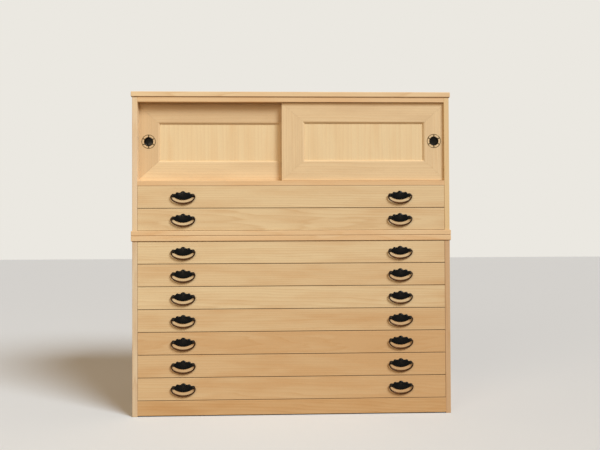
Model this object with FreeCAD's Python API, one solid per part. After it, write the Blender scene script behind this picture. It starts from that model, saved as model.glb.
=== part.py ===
"""Kimono chest in pale paulownia: two stacked cases, two sliding doors, nine drawers with drop handles.

Millimetres, +Z up. The front faces -Y. The origin is on the floor, at the middle of the footprint
that the cases and their handles take up.
"""
import FreeCAD
import Part
import math
import os

V = FreeCAD.Vector

# Case: outer sizes of the box between the projecting boards
CASE_WIDTH = 993.0
CASE_DEPTH = 440.0
CHEST_HEIGHT = 1009.2
SIDE_THICK = 16.0
BACK_THICK = 8.0
BACK_REBATE = 8.0
TOP_THICK = 16.2
LOWER_TOP_THICK = 17.0
UPPER_BOTTOM_THICK = 15.6
BOARD_OVERHANG = 3.5
BOARD_NOSE = 3.0
HOUSING_DEPTH = 5.0
EDGE_EASE = 0.8

# Plinth: the space under the lowest drawer
PLINTH_HEIGHT = 49.5
KICKBOARD_THICK = 20.0
KICKBOARD_LIFT = 3.0
KICKBOARD_GAP = 0.8
BASE_BOARD_THICK = 12.0
BASE_RAIL_DEPTH = 20.0

# Drawers
UPPER_DRAWERS = 2
LOWER_DRAWERS = 7
FRONT_HEIGHT = 68.8
FRONT_GAP = 1.6
FRONT_THICK = 20.0
FRONT_SIDE_GAP = 0.6
DRAWER_LENGTH = 415.0
DRAWER_SIDE_THICK = 9.0
DRAWER_SIDE_HEIGHT = 48.0
DRAWER_LAP = 12.0
DRAWER_BACK_THICK = 8.0
DRAWER_BACK_DROP = 4.0
DRAWER_BOTTOM_THICK = 6.0

# Runner strips
RUNNER_WIDTH = 12.0
RUNNER_HEIGHT = 9.0
RUNNING_GAP = 0.3
STOP_GAP = 0.3

# Head rail, sill and shelf
SILL_HEIGHT = 15.0
HEAD_HEIGHT = 15.2
TRACK_DEPTH = 52.0
SHELF_THICK = 12.0
SILL_GROOVE = 3.0
HEAD_GROOVE = 10.0
GROOVE_CLEARANCE = 0.5

# Doors
DOOR_THICK = 16.0
DOOR_RECESS = 8.0
DOOR_SPACING = 3.0
DOOR_OVERLAP = 63.0
DOOR_SHOULDER_GAP = 1.0
DOOR_HOUSING = 8.0
STILE_WIDTH = 72.0
TOP_RAIL_WIDTH = 64.0
BOTTOM_RAIL_WIDTH = 64.0
BEVEL_WIDTH = 4.0
BEVEL_DEPTH = 3.0
TONGUE_THICK = 8.0
TONGUE_RISE = 6.5
PANEL_THICK = 5.0
PANEL_RECESS = 5.0
PANEL_TONGUE = 8.0
PANEL_END_GAP = 1.0
PANEL_FIT = 0.1

# Round door pull
PULL_INSET = 37.7
PULL_RISE = 2.2
PULL_RING_RADIUS = 22.3
PULL_RING_THICK = 0.8
PULL_CUP_RADIUS = 13.6
PULL_CUP_DEPTH = 10.0
PULL_CUP_WALL = 0.8
PULL_LIP_PROUD = 1.5
PULL_FIT = 0.15
PULL_PETALS = 6
PETAL_INNER = 14.6
PETAL_OUTER = 20.0
PETAL_SPAN = 40.0

# Drop handle: the backplate is a cloud of round lobes over a curved belly
HANDLE_INSET = 140.7
PIVOT_HEIGHT = 38.8
PLATE_THICK = 1.6
PEAK_RADIUS = 9.6
PEAK_TOP = 14.4
SHOULDER_RADIUS = 5.3
SHOULDER_X = 17.6
SHOULDER_TOP = 10.2
VALLEY_DROP = 2.0
CURL_RADIUS = 5.6
CURL_INSET = 1.2
NECK_TOP = 4.8
NECK_BOTTOM = 3.6
BELLY_DROP = 14.2
BELLY_SHOULDER = 2.6
DOME_HEIGHT = 4.6
DOME_INSET = 1.4
STUD_RADIUS = 2.8
STUD_HEIGHT = 1.3

# Eye pins, and the bail that turns in them
PIVOT_PROUD = 5.0
EYE_SPREAD = 61.5
EYE_RADIUS = 2.8
EYE_CROWN = 2.0
EYE_END_GAP = 0.5
SHANK_RADIUS = 1.5
SHANK_FIT = 0.15
WASHER_RADIUS = 5.0
WASHER_THICK = 1.0
LEG_LENGTH = 16.0
LEG_WIDTH = 2.4
LEG_THICK = 1.0
BAIL_PIN_RADIUS = 1.5
BAIL_PIN_FIT = 0.05
BAIL_RADIUS = 2.3
BAIL_BACK_GAP = 0.8
BAIL_DROP = 25.0
BAIL_BEND_RADIUS = 2.7
BAIL_SIDE_RADIUS = 17.0

# Stations worked out from the sizes above
PITCH = FRONT_HEIGHT + FRONT_GAP
LOWER_TOP_Z = PLINTH_HEIGHT + LOWER_DRAWERS * PITCH
UPPER_Z = LOWER_TOP_Z + LOWER_TOP_THICK
UPPER_BAY_Z = UPPER_Z + UPPER_BOTTOM_THICK
SILL_Z = UPPER_BAY_Z + UPPER_DRAWERS * PITCH
SILL_TOP_Z = SILL_Z + SILL_HEIGHT
HEAD_TOP_Z = CHEST_HEIGHT - TOP_THICK
HEAD_Z = HEAD_TOP_Z - HEAD_HEIGHT

EYE_PROUD = PIVOT_PROUD + BAIL_PIN_RADIUS + EYE_CROWN
CURL_PROUD = PIVOT_PROUD - BAIL_RADIUS - BAIL_BACK_GAP
BAIL_HALF_WIDTH = EYE_SPREAD / 2 + EYE_RADIUS + EYE_END_GAP + BAIL_BEND_RADIUS

HALF = CASE_WIDTH / 2
INNER = HALF - SIDE_THICK
FRONT_Y = -(CASE_DEPTH - EYE_PROUD) / 2
BACK_Y = FRONT_Y + CASE_DEPTH
BACK_PANEL_Y = BACK_Y - BACK_THICK
RUNNER_Y = FRONT_Y + FRONT_THICK + STOP_GAP

FRONT_DOOR_Y = FRONT_Y + DOOR_RECESS
REAR_DOOR_Y = FRONT_DOOR_Y + DOOR_THICK + DOOR_SPACING
DOOR_END = INNER + DOOR_HOUSING - GROOVE_CLEARANCE
DOOR_WIDTH = DOOR_END + DOOR_OVERLAP / 2
DOOR_Z = SILL_TOP_Z + DOOR_SHOULDER_GAP
DOOR_HEIGHT = HEAD_Z - SILL_TOP_Z - 2 * DOOR_SHOULDER_GAP


def box(x0, x1, y0, y1, z0, z1):
    return Part.makeBox(x1 - x0, y1 - y0, z1 - z0, V(x0, y0, z0))


def rod(radius, start, end):
    """A straight cylinder between two points."""
    run = end - start
    return Part.makeCylinder(radius, run.Length, start, run)


def eased(solid, face_y):
    """The same solid with the long edges of its front face taken off by a small chamfer."""
    edges = [e for e in solid.Edges if all(abs(v.Y - face_y) < 1e-6 for v in e.Vertexes)]
    return solid.makeChamfer(EDGE_EASE, edges)


def mirrored(solid):
    """The same solid on the other side of the middle of the chest."""
    return solid.mirror(V(0, 0, 0), V(1, 0, 0))


def save(node, solids):
    shape = solids[0] if len(solids) == 1 else Part.makeCompound(solids)
    shape.exportStep("parts/" + node + ".step")
    print(node, len(shape.Solids), round(shape.Volume, 1), shape.isValid())


def projecting_board(z0, thick):
    """A board of the full depth that stands proud of the case at the sides and the front."""
    reach = HALF + BOARD_OVERHANG
    board = box(-reach, reach, FRONT_Y - BOARD_NOSE, BACK_Y, z0, z0 + thick)
    return eased(board, FRONT_Y - BOARD_NOSE)


def side_panel(z0, z1, back_z0):
    """The right side panel of a case, rebated down its back edge for the back panel."""
    panel = box(INNER, HALF, FRONT_Y, BACK_Y, z0, z1)
    rebate = box(INNER, INNER + BACK_REBATE, BACK_PANEL_Y, BACK_Y, back_z0, z1)
    return panel.cut(rebate)


def back_panel(z0, z1):
    reach = INNER + BACK_REBATE
    return box(-reach, reach, BACK_PANEL_Y, BACK_Y, z0, z1)


def housed_board(y0, z0, thick):
    """A board between the sides, from y0 to the back panel, with its ends let into both sides."""
    reach = INNER + HOUSING_DEPTH
    return box(-reach, reach, y0, BACK_PANEL_Y, z0, z0 + thick)


def runner_pair(bay_z):
    """The two strips that one drawer slides on, with their front ends as its stop."""
    strip = box(INNER - RUNNER_WIDTH, INNER, RUNNER_Y, BACK_PANEL_Y, bay_z, bay_z + RUNNER_HEIGHT)
    return [mirrored(strip), strip]


# Lower case: two sides on the floor, a bottom board let into them, a kickboard and a back rail

base_board_z = PLINTH_HEIGHT - BASE_BOARD_THICK
base_board = housed_board(FRONT_Y + KICKBOARD_THICK, base_board_z, BASE_BOARD_THICK)
kickboard = box(-INNER, INNER, FRONT_Y, FRONT_Y + KICKBOARD_THICK, KICKBOARD_LIFT,
                PLINTH_HEIGHT - KICKBOARD_GAP)
kickboard = eased(kickboard, FRONT_Y)
base_rail = box(-INNER, INNER, BACK_PANEL_Y - BASE_RAIL_DEPTH, BACK_PANEL_Y, 0, base_board_z)
lower_side = eased(side_panel(0, LOWER_TOP_Z, 0), FRONT_Y).cut(base_board)

lower_bays = [PLINTH_HEIGHT + n * PITCH for n in range(LOWER_DRAWERS)]
lower_runners = [strip for bay_z in lower_bays for strip in runner_pair(bay_z)]

# Upper case: it stands on its own bottom board, and the shelf behind the sill closes the drawer bays

sill = box(-INNER, INNER, FRONT_Y, FRONT_Y + TRACK_DEPTH, SILL_Z, SILL_TOP_Z)
head = box(-INNER, INNER, FRONT_Y, FRONT_Y + TRACK_DEPTH, HEAD_Z, HEAD_TOP_Z)
groove_inset = (DOOR_THICK - TONGUE_THICK) / 2 - GROOVE_CLEARANCE
groove_width = TONGUE_THICK + 2 * GROOVE_CLEARANCE
for door_y in (FRONT_DOOR_Y, REAR_DOOR_Y):
    groove_y = door_y + groove_inset
    sill = sill.cut(box(-INNER, INNER, groove_y, groove_y + groove_width,
                        SILL_TOP_Z - SILL_GROOVE, SILL_TOP_Z))
    head = head.cut(box(-INNER, INNER, groove_y, groove_y + groove_width, HEAD_Z, HEAD_Z + HEAD_GROOVE))
shelf = housed_board(FRONT_Y + TRACK_DEPTH, SILL_TOP_Z - SHELF_THICK, SHELF_THICK)


def door_housing(door_y):
    """The upright groove in a side panel that takes the closed door's edge."""
    return box(INNER, INNER + DOOR_HOUSING, door_y - GROOVE_CLEARANCE, door_y + DOOR_THICK + GROOVE_CLEARANCE,
               SILL_TOP_Z, HEAD_Z)


upper_side = eased(side_panel(UPPER_BAY_Z, HEAD_TOP_Z, UPPER_BAY_Z), FRONT_Y).cut(shelf)
upper_right_side = upper_side.cut(door_housing(FRONT_DOOR_Y))
upper_left_side = mirrored(upper_side.cut(door_housing(REAR_DOOR_Y)))

upper_bays = [UPPER_BAY_Z + n * PITCH for n in range(UPPER_DRAWERS)]
upper_runners = [strip for bay_z in upper_bays for strip in runner_pair(bay_z)]


# Doors: four mitred members round a thin panel, with tongues along the top and bottom edges

def upright_face(points, y0, thick):
    """A flat shape given by its X and Z corners, drawn out backwards from y0."""
    corners = [V(x, y0, z) for x, z in points]
    face = Part.Face(Part.makePolygon(corners + corners[:1]))
    return face.extrude(V(0, thick, 0))


def rectangle_wire(x0, x1, y, z0, z1):
    return Part.makePolygon([V(x0, y, z0), V(x1, y, z0), V(x1, y, z1), V(x0, y, z1), V(x0, y, z0)])


def petal(radius_in, radius_out, span, centre_angle, y0, depth):
    """A ring sector, for one opening of the pull's openwork."""
    half = math.radians(span / 2)
    mid = math.radians(centre_angle)

    def at(radius, angle):
        return V(radius * math.cos(angle), y0, radius * math.sin(angle))

    edges = [
        Part.Arc(at(radius_in, mid - half), at(radius_in, mid), at(radius_in, mid + half)).toShape(),
        Part.LineSegment(at(radius_in, mid + half), at(radius_out, mid + half)).toShape(),
        Part.Arc(at(radius_out, mid + half), at(radius_out, mid), at(radius_out, mid - half)).toShape(),
        Part.LineSegment(at(radius_out, mid - half), at(radius_in, mid - half)).toShape(),
    ]
    return Part.Face(Part.Wire(edges)).extrude(V(0, depth, 0))


def door_members():
    """The right door in its own place: x from its inner end at 0, y from its face, z from its shoulder."""
    x0, x1, z0, z1 = 0.0, DOOR_WIDTH, 0.0, DOOR_HEIGHT
    open_x0, open_x1 = STILE_WIDTH, DOOR_WIDTH - STILE_WIDTH
    open_z0, open_z1 = BOTTOM_RAIL_WIDTH, DOOR_HEIGHT - TOP_RAIL_WIDTH
    outlines = {
        "inner_stile": [(x0, z0), (open_x0, open_z0), (open_x0, open_z1), (x0, z1)],
        "outer_stile": [(x1, z0), (x1, z1), (open_x1, open_z1), (open_x1, open_z0)],
        "bottom_rail": [(x0, z0), (x1, z0), (open_x1, open_z0), (open_x0, open_z0)],
        "top_rail": [(x0, z1), (open_x0, open_z1), (open_x1, open_z1), (x1, z1)],
    }
    members = {name: upright_face(points, 0, DOOR_THICK) for name, points in outlines.items()}

    tongue_y = (DOOR_THICK - TONGUE_THICK) / 2
    tongue_end = x1 - DOOR_HOUSING - DOOR_SHOULDER_GAP
    tongue_drop = DOOR_SHOULDER_GAP + SILL_GROOVE - RUNNING_GAP
    tongue_top = z1 + DOOR_SHOULDER_GAP + TONGUE_RISE
    members["bottom_rail"] = members["bottom_rail"].fuse(
        box(x0, tongue_end, tongue_y, tongue_y + TONGUE_THICK, -tongue_drop, z0))
    members["top_rail"] = members["top_rail"].fuse(
        box(x0, tongue_end, tongue_y, tongue_y + TONGUE_THICK, z1, tongue_top))

    bevel = Part.makeLoft([
        rectangle_wire(open_x0 - BEVEL_WIDTH, open_x1 + BEVEL_WIDTH, 0,
                       open_z0 - BEVEL_WIDTH, open_z1 + BEVEL_WIDTH),
        rectangle_wire(open_x0, open_x1, BEVEL_DEPTH, open_z0, open_z1)], True, True)
    groove = box(open_x0 - PANEL_TONGUE, open_x1 + PANEL_TONGUE,
                 PANEL_RECESS - PANEL_FIT, PANEL_RECESS + PANEL_THICK + PANEL_FIT,
                 open_z0 - PANEL_TONGUE, open_z1 + PANEL_TONGUE)
    solids = {name: member.cut(bevel).cut(groove) for name, member in members.items()}

    reach = PANEL_TONGUE - PANEL_END_GAP
    solids["panel"] = box(open_x0 - reach, open_x1 + reach, PANEL_RECESS, PANEL_RECESS + PANEL_THICK,
                          open_z0 - reach, open_z1 + reach)
    pocket = rod(PULL_CUP_RADIUS + PULL_FIT, V(pull_x, 0, pull_z),
                 V(pull_x, PULL_CUP_DEPTH + PULL_FIT, pull_z))
    solids["outer_stile"] = solids["outer_stile"].cut(pocket)
    return list(solids.values())


pull_x = DOOR_WIDTH - PULL_INSET
pull_z = DOOR_HEIGHT / 2 + PULL_RISE


def door_pull():
    """A turned cup with a rolled lip, on a flat ring pierced by petals."""
    cup = rod(PULL_CUP_RADIUS, V(0, -PULL_RING_THICK, 0), V(0, PULL_CUP_DEPTH, 0))
    ring = rod(PULL_RING_RADIUS, V(0, -PULL_RING_THICK, 0), V(0, 0, 0))
    for n in range(PULL_PETALS):
        ring = ring.cut(petal(PETAL_INNER, PETAL_OUTER, PETAL_SPAN, n * 360 / PULL_PETALS,
                              -PULL_RING_THICK, PULL_RING_THICK))
    lip = rod(PULL_CUP_RADIUS, V(0, -PULL_LIP_PROUD, 0), V(0, -PULL_RING_THICK, 0))
    hollow = rod(PULL_CUP_RADIUS - PULL_CUP_WALL, V(0, -PULL_LIP_PROUD, 0),
                 V(0, PULL_CUP_DEPTH - PULL_CUP_WALL, 0))
    pull = ring.fuse(cup).fuse(lip).cut(hollow).removeSplitter()
    return pull.translated(V(pull_x, 0, pull_z))


door_start = DOOR_END - DOOR_WIDTH
right_door_place = V(door_start, FRONT_DOOR_Y, DOOR_Z)
left_door_place = V(door_start, REAR_DOOR_Y, DOOR_Z)
right_door = [solid.translated(right_door_place) for solid in door_members()]
left_door = [mirrored(solid.translated(left_door_place)) for solid in door_members()]
right_pull = door_pull().translated(right_door_place)
left_pull = mirrored(door_pull().translated(left_door_place))


# Drop handle, made once round a pivot at x 0, z 0, with the drawer front's face at y 0

def belly():
    """The body of the backplate: low valleys between the lobes above, one long arc below."""
    curl_x = EYE_SPREAD / 2
    corner_x = curl_x - BELLY_SHOULDER
    valley_z = SHOULDER_TOP - VALLEY_DROP
    right_side = [V(corner_x, 0, -CURL_RADIUS), V(curl_x, 0, -NECK_BOTTOM), V(curl_x, 0, NECK_TOP),
                  V(SHOULDER_X + SHOULDER_RADIUS, 0, NECK_TOP), V(SHOULDER_X, 0, valley_z)]
    left_side = [V(-corner.x, 0, corner.z) for corner in reversed(right_side)]
    corners = right_side + left_side
    edges = [Part.LineSegment(start, end).toShape() for start, end in zip(corners, corners[1:])]
    edges.append(Part.Arc(corners[-1], V(0, 0, -BELLY_DROP), corners[0]).toShape())
    return Part.Face(Part.Wire(edges))


def cloud(proud, inset):
    """The backplate's outline with its lobes drawn in by inset, standing proud of the drawer front."""
    lobes = [(0, PEAK_TOP - PEAK_RADIUS, PEAK_RADIUS)]
    for side in (-1, 1):
        lobes.append((side * SHOULDER_X, SHOULDER_TOP - SHOULDER_RADIUS, SHOULDER_RADIUS))
        lobes.append((side * EYE_SPREAD / 2, 0, CURL_RADIUS))
    solid = belly().extrude(V(0, -proud, 0))
    for x, z, radius in lobes:
        solid = solid.fuse(rod(radius - inset, V(x, 0, z), V(x, -proud, z)))
    return solid.removeSplitter()


def stud(x, z):
    """A low round cap on the plate's face."""
    radius = (STUD_RADIUS ** 2 + STUD_HEIGHT ** 2) / (2 * STUD_HEIGHT)
    ball = Part.makeSphere(radius, V(x, radius - PLATE_THICK - STUD_HEIGHT, z))
    return ball.common(rod(STUD_RADIUS, V(x, -PLATE_THICK / 2, z), V(x, -PLATE_THICK - STUD_HEIGHT, z)))


def handle_plate():
    """A flat plate with a swelling body, a stud on each shoulder, a boss under each eye, and shank holes."""
    half_length = EYE_SPREAD / 2 - BELLY_SHOULDER
    half_height = (PEAK_TOP + BELLY_DROP) / 2 - DOME_INSET
    mid_z = (PEAK_TOP - BELLY_DROP) / 2
    stretch = FreeCAD.Matrix()
    stretch.scale(half_length, DOME_HEIGHT, half_height)
    stretch.move(V(0, 0, mid_z))
    swelling = Part.makeSphere(1).transformGeometry(stretch)
    plate = cloud(PLATE_THICK, 0).fuse(swelling.common(cloud(DOME_HEIGHT, DOME_INSET)))
    for side in (-1, 1):
        eye_x = side * EYE_SPREAD / 2
        plate = plate.fuse(stud(side * SHOULDER_X, SHOULDER_TOP - SHOULDER_RADIUS))
        plate = plate.fuse(rod(CURL_RADIUS - CURL_INSET, V(eye_x, 0, 0), V(eye_x, -CURL_PROUD, 0)))
        plate = plate.cut(rod(SHANK_RADIUS + SHANK_FIT, V(eye_x, 0, 0), V(eye_x, -EYE_PROUD, 0)))
    return plate.removeSplitter()


def eye_pin(side):
    """A post with a cross hole for the bail, a shank through the front, and legs bent over behind it."""
    eye_x = side * EYE_SPREAD / 2
    shank_end = FRONT_THICK + WASHER_THICK
    head_solid = rod(EYE_RADIUS, V(eye_x, -CURL_PROUD, 0), V(eye_x, -EYE_PROUD, 0))
    cross_hole = rod(BAIL_PIN_RADIUS + BAIL_PIN_FIT,
                     V(eye_x - EYE_RADIUS, -PIVOT_PROUD, 0), V(eye_x + EYE_RADIUS, -PIVOT_PROUD, 0))
    shank = rod(SHANK_RADIUS, V(eye_x, -CURL_PROUD, 0), V(eye_x, shank_end, 0))
    legs = box(eye_x - LEG_LENGTH / 2, eye_x + LEG_LENGTH / 2, shank_end, shank_end + LEG_THICK,
               -LEG_WIDTH / 2, LEG_WIDTH / 2)
    return head_solid.fuse(shank).fuse(legs).cut(cross_hole).removeSplitter()


def washer(side):
    eye_x = side * EYE_SPREAD / 2
    disc = rod(WASHER_RADIUS, V(eye_x, FRONT_THICK, 0), V(eye_x, FRONT_THICK + WASHER_THICK, 0))
    return disc.cut(rod(SHANK_RADIUS + SHANK_FIT, V(eye_x, FRONT_THICK, 0),
                        V(eye_x, FRONT_THICK + WASHER_THICK, 0)))


def bail():
    """One bent rod: pins turned inwards at the ends, then a bow of two side arcs and one long arc.

    The long arc's radius follows from the drop: it meets both side arcs without a corner.
    """
    half, drop = BAIL_HALF_WIDTH, BAIL_DROP
    bend, side_r = BAIL_BEND_RADIUS, BAIL_SIDE_RADIUS
    side_x = half - side_r
    gap = drop - bend
    long_r = (side_x ** 2 + gap ** 2 - side_r ** 2) / (2 * (gap - side_r))
    long_z = long_r - drop
    reach = math.hypot(side_x, long_z + bend)
    meet_x = long_r * side_x / reach
    meet_z = long_z - long_r * (long_z + bend) / reach
    meet_angle = math.atan2(meet_z + bend, meet_x - side_x)
    diagonal = bend * (1 - math.sqrt(0.5))

    def at(x, z):
        return V(x, -PIVOT_PROUD, z)

    side_mid = at(side_x + side_r * math.cos(meet_angle / 2), -bend + side_r * math.sin(meet_angle / 2))
    bend_arc = Part.Arc(at(half - bend, 0), at(half - diagonal, -diagonal), at(half, -bend)).toShape()
    side_arc = Part.Arc(at(half, -bend), side_mid, at(meet_x, meet_z)).toShape()
    long_arc = Part.Arc(at(meet_x, meet_z), at(0, -drop), at(-meet_x, meet_z)).toShape()
    path = Part.Wire([bend_arc, side_arc, long_arc, mirrored(side_arc), mirrored(bend_arc)])
    section = Part.Wire(Part.Circle(at(half - bend, 0), V(1, 0, 0), BAIL_RADIUS).toShape())
    bow = path.makePipeShell([section], True, False)
    for side in (-1, 1):
        pin_start = at(side * (half - bend), 0)
        pin_end = at(side * (EYE_SPREAD / 2 - EYE_RADIUS / 2), 0)
        bow = bow.fuse(rod(BAIL_PIN_RADIUS, pin_start, pin_end))
    return bow


PLATE = handle_plate()
EYES = [eye_pin(-1), eye_pin(1)]
WASHERS = [washer(-1), washer(1)]
BAIL = bail()


def drawer(number, bay_z):
    """All the pieces of one drawer, saved as its five nodes."""
    name = "drawer_" + str(number)
    half = INNER - FRONT_SIDE_GAP
    front_z = bay_z + FRONT_GAP / 2
    bottom_z = bay_z + RUNNER_HEIGHT + RUNNING_GAP
    side_z = bottom_z + DRAWER_BOTTOM_THICK
    side_top = side_z + DRAWER_SIDE_HEIGHT
    front_back_y = FRONT_Y + FRONT_THICK
    end_y = FRONT_Y + DRAWER_LENGTH
    lap_y = front_back_y - DRAWER_LAP
    pivots = [V(side * (half - HANDLE_INSET), FRONT_Y, front_z + PIVOT_HEIGHT) for side in (-1, 1)]

    right = box(half - DRAWER_SIDE_THICK, half, lap_y, end_y, side_z, side_top)
    sides = [mirrored(right), right]
    back = box(-half + DRAWER_SIDE_THICK, half - DRAWER_SIDE_THICK, end_y - DRAWER_BACK_THICK, end_y,
               side_z, side_top - DRAWER_BACK_DROP)
    bottom = box(-half, half, front_back_y, end_y, bottom_z, side_z)

    front = eased(box(-half, half, FRONT_Y, front_back_y, front_z, front_z + FRONT_HEIGHT), FRONT_Y)
    for side in sides:
        front = front.cut(side)
    for pivot in pivots:
        for side in (-1, 1):
            start = pivot + V(side * EYE_SPREAD / 2, 0, 0)
            front = front.cut(rod(SHANK_RADIUS + SHANK_FIT, start, start + V(0, FRONT_THICK, 0)))

    fittings = [piece.translated(pivot) for pivot in pivots for piece in [PLATE] + EYES + WASHERS]
    save(name + "_front", [front])
    save(name + "_box", sides + [back, bottom])
    save(name + "_handle_plates", fittings)
    save(name + "_left_bail", [BAIL.translated(pivots[0])])
    save(name + "_right_bail", [BAIL.translated(pivots[1])])


os.makedirs("parts", exist_ok=True)

save("upper_top_board", [projecting_board(HEAD_TOP_Z, TOP_THICK)])
save("upper_side_panels", [upper_left_side, upper_right_side])
save("upper_back_panel", [back_panel(UPPER_BAY_Z, HEAD_TOP_Z)])
save("head_rail_and_sill", [head, sill, shelf])
save("upper_bottom_board", [projecting_board(UPPER_Z, UPPER_BOTTOM_THICK)])
save("upper_runners", upper_runners)
save("lower_top_board", [projecting_board(LOWER_TOP_Z, LOWER_TOP_THICK)])
save("lower_side_panels", [mirrored(lower_side), lower_side])
save("lower_back_panel", [back_panel(0, LOWER_TOP_Z)])
save("bottom_board_and_kickboard", [base_board, kickboard, base_rail])
save("lower_runners", lower_runners)
save("left_door", left_door)
save("right_door", right_door)
save("left_door_pull", [left_pull])
save("right_door_pull", [right_pull])

# Drawers are numbered from the top of the chest down
for order, drawer_z in enumerate(reversed(lower_bays + upper_bays)):
    drawer(order + 1, drawer_z)
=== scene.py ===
"""Looks of the kimono chest: paulownia boards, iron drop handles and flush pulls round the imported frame.

Metres, +Z up, the front faces -Y. Each section makes one piece or one group of like pieces. Sizes of the
grain and of the ironwork are in millimetres, the ironwork's about its pivot or its centre.
"""

import math

import bmesh
import bpy
import numpy as np
from mathutils import Matrix, Vector


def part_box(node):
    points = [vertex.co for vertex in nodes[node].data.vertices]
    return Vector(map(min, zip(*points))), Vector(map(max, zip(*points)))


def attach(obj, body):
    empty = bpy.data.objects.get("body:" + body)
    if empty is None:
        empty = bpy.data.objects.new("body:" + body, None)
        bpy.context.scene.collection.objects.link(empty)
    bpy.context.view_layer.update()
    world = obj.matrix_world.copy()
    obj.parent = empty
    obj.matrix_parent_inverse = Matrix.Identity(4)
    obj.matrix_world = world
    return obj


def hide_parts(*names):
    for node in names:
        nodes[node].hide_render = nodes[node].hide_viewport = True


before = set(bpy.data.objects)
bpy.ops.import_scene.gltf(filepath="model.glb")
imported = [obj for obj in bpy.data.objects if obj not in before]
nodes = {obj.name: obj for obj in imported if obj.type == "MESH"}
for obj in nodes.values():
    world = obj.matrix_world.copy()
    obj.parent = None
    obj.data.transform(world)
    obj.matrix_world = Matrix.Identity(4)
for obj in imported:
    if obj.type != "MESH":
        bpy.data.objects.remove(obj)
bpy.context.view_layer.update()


# The plain boards of both cases are paulownia, planed and left bare: side and back panels, head rail, sill
# and runners. Wide panels are glued up from narrower boards, so the tone steps from one board to the next.

MM_PER_METRE = 1000.0

# Each figure in the wood as its size along and across the grain in millimetres, its detail and its seed.
# Fibres and pores are drawn coarser than real ones, which would be too fine to show.
GRAIN = {"drift": (420, 70, 2.0, 0.0), "uneven": (900, 24, 2.0, 7.0), "streak": (260, 2.6, 3.0, 3.0),
         "patch": (210, 34, 2.0, 11.0), "fibre": (14, 0.45, 4.0, 5.0), "pore": (5, 0.5, 1.0, 0.0)}

# Growth lines: how far they stray sideways, how uneven the rings are, and the place and strength of the late
# wood within one ring. The last two say where a line fades out.
WOBBLE = 16.0
RING_STRAY = 2.4
LATE_WOOD = ((0.35, 0.12), (0.72, 0.5), (0.88, 1.0))
STREAK_GAIN = 1.5
STREAK_LOSS = -0.15

# Flat-sawn figure: the heart line's depth under the face and its stray from the middle of the board, and how
# fast the arches climb along the board and with the wobble.
HEART_DEPTH = 34.0
HEART_STRAY = 60.0
ARCH_SLOPE = 0.045
ARCH_WOBBLE = 2.2

# From board to board: the shift along the grain and the step in tone. A panel's own tone is the middle one.
BOARD_SHIFT = 4000.0
BOARD_STEP = 0.5
PANEL_TONE = 0.5

# Colour: where in their noise orange patches and pores show, how warm a patch is, how far full warmth and
# the full painted gap shade cover the wood, and by how much each figure lightens it, as gain and level.
PATCH_SHOWS = (0.42, 0.78)
PATCH_WARMTH = 0.55
PORE_SHOWS = (0.60, 0.72)
FULL_WARMTH = 0.62
# Painted shade: hidden faces are mixed towards this brown, so that the gaps between parts read dark.
FULL_GAP_SHADE = 0.75
GAP_SHADE_COLOUR = "#6e3f17"
SHADE = {"fibre": (0.16, 0.92), "pore": (-0.10, 1.0), "streak": (0.10, 0.95)}

# Lustre: the roughness, what fibres add to it and what the denser late wood takes off. The relief is felt,
# hardly seen: fibres and late wood stand up, pores go in.
WOOD_IOR = 1.45
WOOD_ROUGHNESS = 0.50
FIBRE_ROUGHNESS = 0.12
LATE_ROUGHNESS = -0.06
RELIEF = 0.05
RELIEF_STRENGTH = 0.6
RELIEF_DEPTH = 0.001

TIMES = {"operation": "MULTIPLY"}
PLUS = {"operation": "ADD"}
TIMES_PLUS = {"operation": "MULTIPLY_ADD"}
SCALED = {"operation": "SCALE"}
COLOURS = {"data_type": "RGBA"}
CLAMPED = {"use_clamp": True}


def linear(code):
    """An sRGB hex colour as linear red, green, blue and an alpha of 1."""
    parts = np.array([int(code[i:i + 2], 16) for i in (1, 3, 5)]) / 255
    return [*np.where(parts <= 0.04045, parts / 12.92, ((parts + 0.055) / 1.055) ** 2.4), 1.0]


def node(tree, kind, settings=None, inputs=None):
    """Adds one node. Settings are its properties. An input is a value, or what feeds it: an output socket, or
    a node, which stands for its first output."""
    made = tree.nodes.new(kind)
    for key, value in (settings or {}).items():
        setattr(made, key, value)
    for key, value in (inputs or {}).items():
        if isinstance(value, bpy.types.Node):
            value = value.outputs[0]
        if isinstance(value, bpy.types.NodeSocket):
            tree.links.new(value, made.inputs[key])
        else:
            made.inputs[key].default_value = value
    return made


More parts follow.
